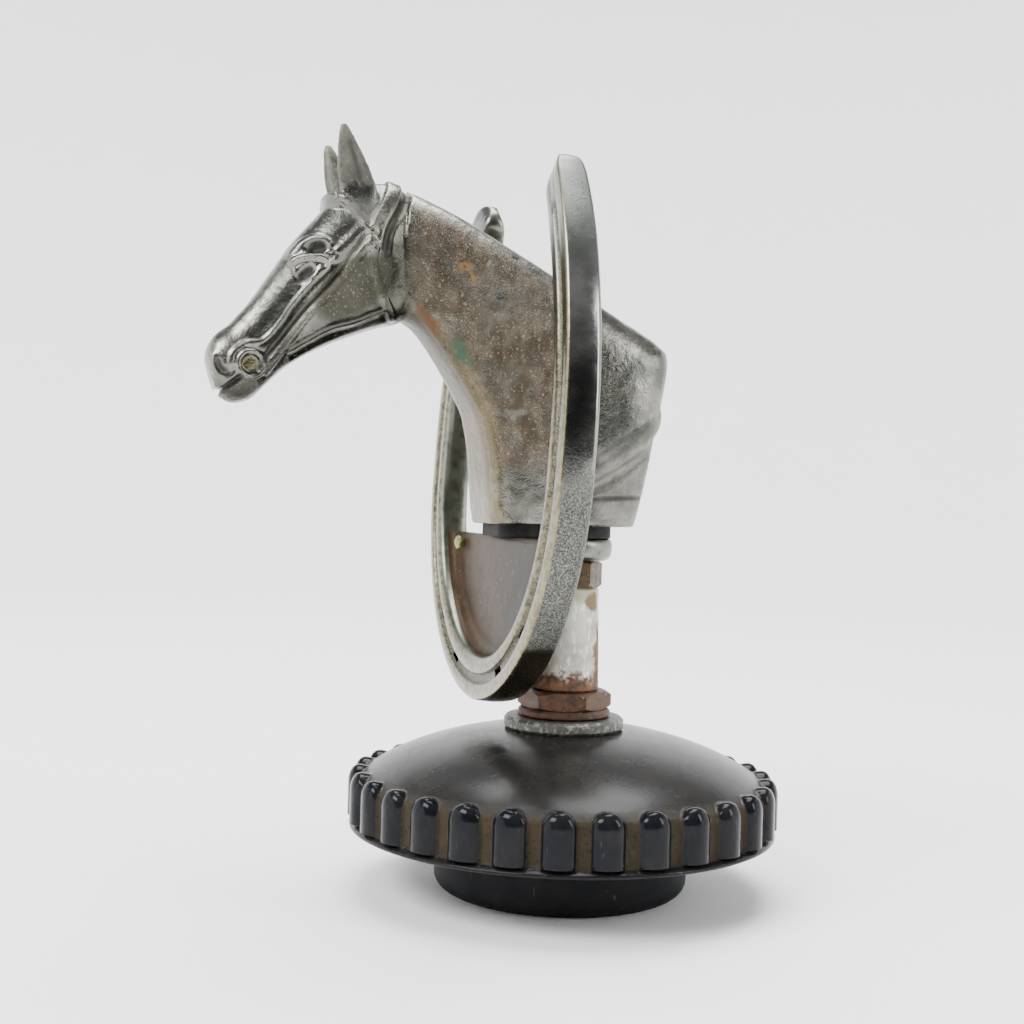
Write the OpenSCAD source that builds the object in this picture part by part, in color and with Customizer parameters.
// Horse-head mascot in a horseshoe, on a screw-on radiator cap.
// Millimetres, +Z up. The origin is the centre of the skirt's lower face, on the cap's axis.
// The horse faces -Y and its left side is towards +X.

/* [Cap] */
// Diameter of the cap over its finger ribs
cap_d = 80; // [74:1:88]
// Number of finger ribs round the rim
rib_count = 30; // [24:1:30]
// Width of one finger rib where it leaves the rim's wall
rib_w = 6.3; // [4.5:0.1:6.4]
// How far a finger rib stands out from the rim's wall
rib_out = 1.8; // [1.2:0.1:2.2]
// Height of the ribbed rim
rim_h = 10.6; // [9:0.1:13]
// Height of the dome's flat crown above the rim's lower edge
crown_h = 18.2; // [17:0.1:22]
// Outer diameter of the threaded skirt below the rim
skirt_d = 47.2; // [45:0.1:50]
// How far the skirt reaches below the rim
skirt_h = 11.4; // [7:0.1:14]
// Diameter of the skirt's bore, at the crests of its thread
bore_d = 40; // [36:0.1:41]
// Depth of the skirt's bore, up to the sealing ring's recess
bore_depth = 12; // [11:0.5:12]
// Thickness of the sealing ring above the bore
seal_t = 2.4; // [1.5:0.1:3]

/* [Post and nuts] */
// Diameter of the post's painted body at its lower end
post_d = 12.6; // [11.5:0.1:14]
// Diameter of the post's painted body at its upper end
post_top_d = 11.8; // [10:0.1:13]
// Length of the post's painted body
post_h = 19.3; // [16:0.1:26]
// Diameter of the threaded spigot that passes down through the cap
lower_spigot_d = 9.5; // [8:0.1:10]
// Diameter of the threaded spigot that carries the mascot
upper_spigot_d = 6.35; // [6:0.05:7]
// Thickness of the lock nut between the post and its washers
lock_nut_t = 3.3; // [2.5:0.1:5]
// Width across the flats of the two larger nuts
large_nut_af = 15.2; // [14.5:0.1:17]
// Width across the flats of the nut under the mascot
lug_nut_af = 11.3; // [10.5:0.1:13]
// Thickness of the nut under the mascot
lug_nut_t = 4.9; // [4:0.1:6]
// Thickness of the nut inside the cap
clamp_nut_t = 6.5; // [5:0.1:6.5]

/* [Washers] */
// Diameter of the wide grey washer on the dome
seat_washer_d = 22.4; // [20:0.1:26]
// Thickness of the wide grey washer
seat_washer_t = 2.3; // [1.5:0.1:3]
// Diameter of the thin washer under the lock nut
thin_washer_d = 17.2; // [16:0.1:19]
// Thickness of the thin washer
thin_washer_t = 1.6; // [1:0.1:2]

/* [Horseshoe] */
// Widest part of the horseshoe, over its outer edge
shoe_w = 82; // [76:1:90]
// Height of the horseshoe from toe to heel tips
shoe_h = 96.6; // [92:1:104]
// Front-to-back thickness of the horseshoe
shoe_t = 6; // [5:0.1:7]
// Width of the horseshoe's bar, seen from the front
bar_w = 8; // [7:0.1:9]
// How far the horseshoe leans back from upright, in degrees
shoe_lean = 3.1; // [0:0.1:4]
// Thickness of the plate that fills the toe
web_t = 2.4; // [1.8:0.1:3]
// Width of the tongue that the post holds
lug_w = 16.4; // [15:0.1:18]
// Thickness of that tongue
lug_t = 4.3; // [3.5:0.1:5]

/* [Bust] */
// Thickness of the packing between the tongue and the bust
pad_t = 2.2; // [1.2:0.1:2.5]
// Width of the bust across its base
base_w = 19.2; // [17:0.1:22]
// Length of the bust from its nose to the back of its neck
bust_l = 85.6; // [82:0.1:89]
// Height of the bust from its base to the ear tips
bust_h = 68; // [65:0.1:71]
// Depth of the threaded socket in the bust's base
socket_depth = 14; // [12:0.5:16]

/* [Hidden] */
$fn = 96;

thread_gap = 0.05;      // radial clearance of a threaded spigot in its nut or socket
hole_gap = 0.3;         // radial clearance of a plain hole round a spigot
seat_gap = 0.05;        // clearance under the tongue, where the mascot turns

rim_z = skirt_h;
crown_z = rim_z + crown_h;
thin_washer_z = crown_z + seat_washer_t;
lock_nut_z = thin_washer_z + thin_washer_t;
post_z = lock_nut_z + lock_nut_t;
lug_nut_z = post_z + post_h;
lug_z = lug_nut_z + lug_nut_t + seat_gap;
pad_z = lug_z + lug_t;
bust_z = pad_z + pad_t;

cap_r = cap_d / 2;
wall_r = cap_r - rib_out;
skirt_r = skirt_d / 2;
bore_r = bore_d / 2;
recess_r = bore_r - 0.6; // the recess that holds the sealing ring
recess_top = bore_depth + seal_t + 0.3;
pocket_r = 13;          // the pocket for the nut above the sealing ring
crown_t = 6;            // thickness of the cap's crown over the pocket
pocket_top = crown_z - crown_t;
dome_r = cap_r + 3;     // half-width of the ellipse that the dome follows
dome_h = 19;            // half-height of that ellipse
flat_r = seat_washer_d / 2 + 0.8;
rib_turn = 4;           // how far the ribs are turned from the X axis, in degrees

clamp_washer_t = 1.6;
spring_washer_t = 2.2;
clamp_washer_z = pocket_top - clamp_washer_t;
spring_washer_z = clamp_washer_z - spring_washer_t;
clamp_nut_z = spring_washer_z - clamp_nut_t;

// A round flat washer with its lower face at z = 0.
module washer(outer_r, inner_r, t, edge = 0.25) {
    rotate_extrude()
        polygon([
            [inner_r, 0], [outer_r - edge, 0], [outer_r, edge],
            [outer_r, t - edge], [outer_r - edge, t], [inner_r, t]
        ]);
}

// A hexagon nut with its corners chamfered at both ends and a plain bore for its thread.
module hex_nut(across_flats, t, bore_radius) {
    corner_r = across_flats / sqrt(3);
    chamfer = corner_r - across_flats / 2;
    difference() {
        intersection() {
            cylinder(h = t, r = corner_r, $fn = 6);
            rotate_extrude()
                polygon([
                    [0, 0], [across_flats / 2, 0], [corner_r + 0.1, chamfer * 0.6],
                    [corner_r + 0.1, t - chamfer * 0.6], [across_flats / 2, t], [0, t]
                ]);
        }
        translate([0, 0, -1]) cylinder(h = t + 2, r = bore_radius);
    }
}

// Height of the dome's surface at radius r.
function dome_z(r) = crown_z - dome_h * (sqrt(1 - pow(flat_r / dome_r, 2)) - sqrt(1 - pow(r / dome_r, 2)));

// The cap's section: skirt, core-out under the rim, rim lip, wall, dome, and the stepped bore.
module cap_section() {
    corner = 2.6;       // radius of the skirt's lower outer corner
    groove_r = wall_r - 3;
    groove_z = rim_z + 7.5;
    lip_r = cap_r - 0.4;
    dome_steps = 14;
    dome_edge = wall_r - 0.6;
    polygon(concat(
        [[bore_r, 0]],
        [for (a = [-90:15:0]) [skirt_r - corner + corner * cos(a), corner + corner * sin(a)]],
        [[skirt_r, groove_z], [groove_r, groove_z], [groove_r, rim_z]],
        [[lip_r - 0.4, rim_z], [lip_r, rim_z + 0.4], [lip_r, rim_z + 0.8], [wall_r, rim_z + 1.4]],
        [[wall_r, dome_z(dome_edge) - 0.6]],
        [for (i = [0:dome_steps]) let (r = dome_edge + (flat_r - dome_edge) * i / dome_steps) [r, dome_z(r)]],
        [[lower_spigot_d / 2 + hole_gap, crown_z], [lower_spigot_d / 2 + hole_gap, pocket_top]],
        [[pocket_r, pocket_top], [pocket_r, recess_top], [recess_r, recess_top]],
        [[recess_r, bore_depth], [bore_r, bore_depth]]
    ));
}

// The rim and dome as a solid of revolution, out to the ribs' faces, with the ribs' tops rounded.
module rib_limit() {
    top_r = 3.4;        // radius of the ribs' rounded tops
    rotate_extrude()
        polygon(concat(
            [[wall_r - 4, rim_z + 0.5], [cap_r - 0.3, rim_z + 0.5], [cap_r, rim_z + 0.8]],
            [for (a = [0:15:60]) [cap_r - top_r + top_r * cos(a), rim_z + rim_h - top_r + top_r * sin(a)]],
            [[wall_r - 4, rim_z + rim_h]]
        ));
}

// The finger ribs from above: round bars sunk in the wall.
module rib_outline() {
    r = (pow(rib_w / 2, 2) + pow(rib_out, 2)) / (2 * rib_out);
    difference() {
        for (i = [0:rib_count - 1])
            rotate([0, 0, rib_turn + i * 360 / rib_count]) translate([cap_r - r, 0]) circle(r = r);
        circle(r = wall_r - 1.2);
    }
}

module cap() {
    color([0.06, 0.06, 0.065])
        union() {
            rotate_extrude() cap_section();
            intersection() {
                translate([0, 0, rim_z]) linear_extrude(rim_h + 1) rib_outline();
                rib_limit();
            }
        }
}

module sealing_ring() {
    color([0.12, 0.09, 0.07])
        translate([0, 0, recess_top - seal_t])
            washer(recess_r - hole_gap, pocket_r + 1, seal_t, 0.4);
}

module clamp_washer() {
    color([0.5, 0.47, 0.42])
        translate([0, 0, clamp_washer_z])
            washer(10.5, lower_spigot_d / 2 + hole_gap, clamp_washer_t);
}

// A single-coil spring washer, pressed flat and split at one side.
module spring_washer() {
    split = 1.2;
    color([0.4, 0.37, 0.34])
        translate([0, 0, spring_washer_z])
            difference() {
                washer(8, lower_spigot_d / 2 + hole_gap, spring_washer_t);
                rotate([0, 0, 20])
                    translate([0, -split / 2, -1]) cube([12, split, spring_washer_t + 2]);
            }
}

module clamp_nut() {
    color([0.42, 0.36, 0.3])
        translate([0, 0, clamp_nut_z])
            hex_nut(large_nut_af, clamp_nut_t, lower_spigot_d / 2 + thread_gap);
}

module seat_washer() {
    color([0.55, 0.57, 0.54])
        translate([0, 0, crown_z])
            washer(seat_washer_d / 2, lower_spigot_d / 2 + hole_gap, seat_washer_t, 0.5);
}

module thin_washer() {
    color([0.36, 0.24, 0.16])
        translate([0, 0, thin_washer_z])
            washer(thin_washer_d / 2, lower_spigot_d / 2 + hole_gap, thin_washer_t, 0.4);
}

module lock_nut() {
    color([0.42, 0.27, 0.15])
        translate([0, 0, lock_nut_z])
            rotate([0, 0, 8]) hex_nut(large_nut_af, lock_nut_t, lower_spigot_d / 2 + thread_gap);
}

// The turned post: painted body, and a threaded spigot at each end.
module post() {
    lead = 0.8;         // chamfer at each spigot's end
    foot_z = clamp_nut_z - 1;
    spigot_top = bust_z + socket_depth - 1.8;
    edge = 0.4;
    color([0.82, 0.81, 0.76])
        union() {
            translate([0, 0, post_z])
                rotate_extrude()
                    polygon([
                        [0, 0], [post_d / 2 - edge, 0], [post_d / 2, edge],
                        [post_top_d / 2, post_h - edge], [post_top_d / 2 - edge, post_h], [0, post_h]
                    ]);
            translate([0, 0, foot_z]) cylinder(h = lead, r1 = lower_spigot_d / 2 - lead, r2 = lower_spigot_d / 2);
            translate([0, 0, foot_z + lead]) cylinder(h = post_z - foot_z - lead, d = lower_spigot_d);
            translate([0, 0, lug_nut_z]) cylinder(h = spigot_top - lug_nut_z - lead, d = upper_spigot_d);
            translate([0, 0, spigot_top - lead])
                cylinder(h = lead, r1 = upper_spigot_d / 2, r2 = upper_spigot_d / 2 - lead);
        }
}

module lug_nut() {
    color([0.35, 0.24, 0.13])
        translate([0, 0, lug_nut_z])
            rotate([0, 0, 20]) hex_nut(lug_nut_af, lug_nut_t, upper_spigot_d / 2 + thread_gap);
}

toe_clear = 5.4;        // the toe's height above the dome's crown
toe_z = crown_z + toe_clear;
shoe_y = -18.6;         // front face of the toe
toe_r = shoe_w / 2;
straight = 5;           // short upright stretch between the toe's arc and the branches
heel_half = toe_r * 0.53; // half the distance between the bar's middles at the heel tips

// A branch's middle line leans in along an arc of this radius, from the widest point to the heel.
branch_rise = shoe_h - bar_w / 2 - toe_r - straight;
branch_in = toe_r - bar_w / 2 - heel_half;
branch_r = (pow(branch_in, 2) + pow(branch_rise, 2)) / (2 * branch_in);
heel_turn = asin(branch_rise / branch_r);

// Half of a line along the bar, at a distance from its outer edge, from the toe to turn degrees
// round the branch's arc. The toe is at the origin and the branches rise along +Y.
function half_line(inset, turn) =
    let (r = toe_r - inset, branch = branch_r + bar_w / 2 - inset)
    concat(
        [for (a = [0:7.5:90]) [r * sin(a), toe_r - r * cos(a)]],
        [for (i = [0:6]) let (a = turn * i / 6)
            [r - branch + branch * cos(a), toe_r + straight + branch * sin(a)]]
    );

// The rounded end that joins the lines at from and to.
function round_end(from, to, turn) =
    let (mid = (from + to) / 2, half = (to - from) / 2, branch = branch_r + bar_w / 2 - mid)
    [for (i = [1:5]) let (a = turn + 30 * i)
        [toe_r - mid - branch + branch * cos(turn) + half * cos(a),
         toe_r + straight + branch * sin(turn) + half * sin(a)]];

function reversed(list) = [for (i = [len(list) - 1:-1:0]) list[i]];
function mirrored(list) = [for (p = list) [-p[0], p[1]]];

// The bar from the front, between the distances from and to, measured in from its outer edge.
module bar_outline(from, to, turn = heel_turn) {
    outer = concat(half_line(from, turn), round_end(from, to, turn));
    inner = reversed(half_line(to, turn));
    polygon(concat(outer, inner, mirrored(reversed(inner)), mirrored(reversed(outer))));
}

// The plate in the toe, up to the height rise above the toe.
module web_outline(rise) {
    intersection() {
        translate([0, toe_r]) circle(r = toe_r - bar_w / 2);
        translate([-toe_r, 0]) square([2 * toe_r, rise]);
    }
}

// The tongue from above: a round end about the post's spigot.
module lug_outline(root) {
    circle(d = lug_w);
    translate([-lug_w / 2, root]) square([lug_w, -root]);
}

module horseshoe() {
    crease_from = 2.7;
    crease_to = 4.9;
    crease_depth = 0.8;
    crease_turn = heel_turn - 3;
    nail_depth = 2;
    nail_r = toe_r - (crease_from + crease_to) / 2;
    web_rise = (pad_z - toe_z) / cos(shoe_lean) - 0.2;
    web_back = shoe_y + shoe_t + (pad_z - toe_z) * tan(shoe_lean);
    color([0.78, 0.78, 0.77])
        difference() {
            union() {
                translate([0, shoe_y + shoe_t, toe_z])
                    rotate([90 - shoe_lean, 0, 0]) {
                        linear_extrude(shoe_t) bar_outline(0, bar_w);
                        linear_extrude(web_t) web_outline(web_rise);
                    }
                translate([0, 0, lug_z]) linear_extrude(lug_t) lug_outline(web_back - web_t / 2);
            }
            translate([0, shoe_y + shoe_t, toe_z])
                rotate([90 - shoe_lean, 0, 0])
                    translate([0, 0, shoe_t]) {
                        translate([0, 0, -crease_depth])
                            linear_extrude(2) bar_outline(crease_from, crease_to, crease_turn);
                        for (side = [-1, 1], a = [22, 44, 66, 88])
                            translate([side * nail_r * sin(a), toe_r - nail_r * cos(a), -nail_depth])
                                rotate([0, 0, side * a])
                                    translate([-1.5, -0.7, 0]) cube([3, 1.4, nail_depth + 2]);
                    }
            translate([0, 0, lug_z - 1]) cylinder(h = lug_t + 2, r = upper_spigot_d / 2 + hole_gap);
        }
}

// The packing follows the bust's base, a little inside its edge.
module packing_pad() {
    end_r = 7.8;
    front = -15.4;
    color([0.07, 0.07, 0.07])
        translate([0, 0, pad_z])
            difference() {
                union() {
                    cylinder(h = pad_t, r = end_r);
                    translate([-end_r, front + 3, 0]) cube([2 * end_r, -front - 3, pad_t]);
                    translate([-end_r + 3, front, 0]) cube([2 * end_r - 6, 4, pad_t]);
                    for (side = [-1, 1])
                        translate([side * (end_r - 3), front + 3, 0]) cylinder(h = pad_t, r = 3);
                }
                translate([0, 0, -1]) cylinder(h = pad_t + 2, r = upper_spigot_d / 2 + hole_gap);
            }
}

// A closed ring in a plane that holds X. It passes through the points a and b, given as [y, z],
// and is half_w wide each side. squareness 2 is an ellipse, and more fills its corners.
function ring(a, b, half_w, squareness, n = 24) =
    let (mid = (a + b) / 2, arm = (a - b) / 2)
    [for (i = [0:n - 1])
        let (t = 360 * i / n,
             c = sign(cos(t)) * pow(abs(cos(t)), 2 / squareness),
             s = sign(sin(t)) * pow(abs(sin(t)), 2 / squareness))
        [half_w * s, mid[0] + arm[0] * c, mid[1] + arm[1] * c]];

// A skin over a row of sections, each [a, b, half_w, squareness].
module loft(sections, n = 24) {
    rings = [for (s = sections) ring(s[0], s[1], s[2], s[3], n)];
    last = len(rings) - 1;
    polyhedron(
        points = [for (r = rings) each r],
        faces = concat(
            [[for (i = [0:n - 1]) i]],
            [for (k = [0:last - 1], i = [0:n - 1])
                let (j = (i + 1) % n, p = k * n, q = p + n)
                each [[p + i, q + i, q + j], [p + i, q + j, p + j]]],
            [[for (i = [n - 1:-1:0]) last * n + i]]
        )
    );
}

// Sections from the base up to the poll: throat side, crest side, half-width, squareness.
// Heights here are above the bust's base.
neck = [
    [[-17.3, 0], [10.8, 0], 9.6, 4.5],
    [[-18.2, 6], [12.9, 8], 9.7, 4.2],
    [[-19.0, 14], [15.6, 20], 9.6, 3.4],
    [[-20.6, 20], [17.6, 31], 9.3, 3],
    [[-21.8, 22.5], [16.2, 33.8], 9.1, 2.8],
    [[-24.6, 27], [8, 38.6], 8.8, 2.5],
    [[-27.8, 31.5], [-3, 44.6], 8.4, 2.3],
    [[-30.6, 34.6], [-14, 50.4], 7.8, 2.2],
    [[-33, 36], [-24, 55.6], 7.2, 2.2],
    [[-36, 38], [-33, 59.2], 6.6, 2.2]
];

// Sections from the poll down to the lips: jaw side, brow side, half-width, squareness.
head = [
    [[-30.5, 40], [-34, 59.6], 5.6, 2.2],
    [[-33.5, 35.6], [-39, 60.2], 7.4, 2.4],
    [[-37.5, 34.6], [-45.6, 57.2], 8.2, 2.5],
    [[-41.5, 33], [-50.2, 52.4], 8.6, 2.5],
    [[-46, 31.2], [-54, 47.8], 7.8, 2.5],
    [[-50.5, 29], [-57.5, 42.4], 6.4, 2.5],
    [[-54.3, 26.4], [-60.8, 37.4], 5.3, 2.5],
    [[-57.4, 23.4], [-64, 33.6], 5.1, 2.5],
    [[-60, 20.8], [-66.7, 31.1], 5.2, 2.5],
    [[-62.8, 20], [-67.9, 27.8], 4.8, 2.4],
    [[-65.2, 20.9], [-67.2, 24.4], 3, 2.2]
];

module ear(side) {
    hull() {
        translate([side * 5.4, -40.6, 57]) scale([1, 0.9, 1.3]) sphere(r = 2.5, $fn = 14);
        translate([side * 6.9, -43.4, 63]) scale([0.8, 1.2, 1.2]) sphere(r = 1.9, $fn = 14);
        translate([side * 8.2, -45.6, 67.4]) sphere(r = 0.6, $fn = 10);
    }
}

module horse_bust() {
    color([0.76, 0.75, 0.73])
        translate([0, 0, bust_z])
            difference() {
                resize([0, bust_l, bust_h])
                    union() {
                        scale([base_w / 19.2, 1, 1]) {
                            loft(neck);
                            loft(head);
                        }
                        ear(-1);
                        ear(1);
                    }
                translate([0, 0, -1]) cylinder(h = socket_depth + 1, r = upper_spigot_d / 2 + thread_gap);
            }
}

horse_bust();
packing_pad();
horseshoe();
lug_nut();
post();
lock_nut();
thin_washer();
seat_washer();
cap();
sealing_ring();
clamp_washer();
spring_washer();
clamp_nut();
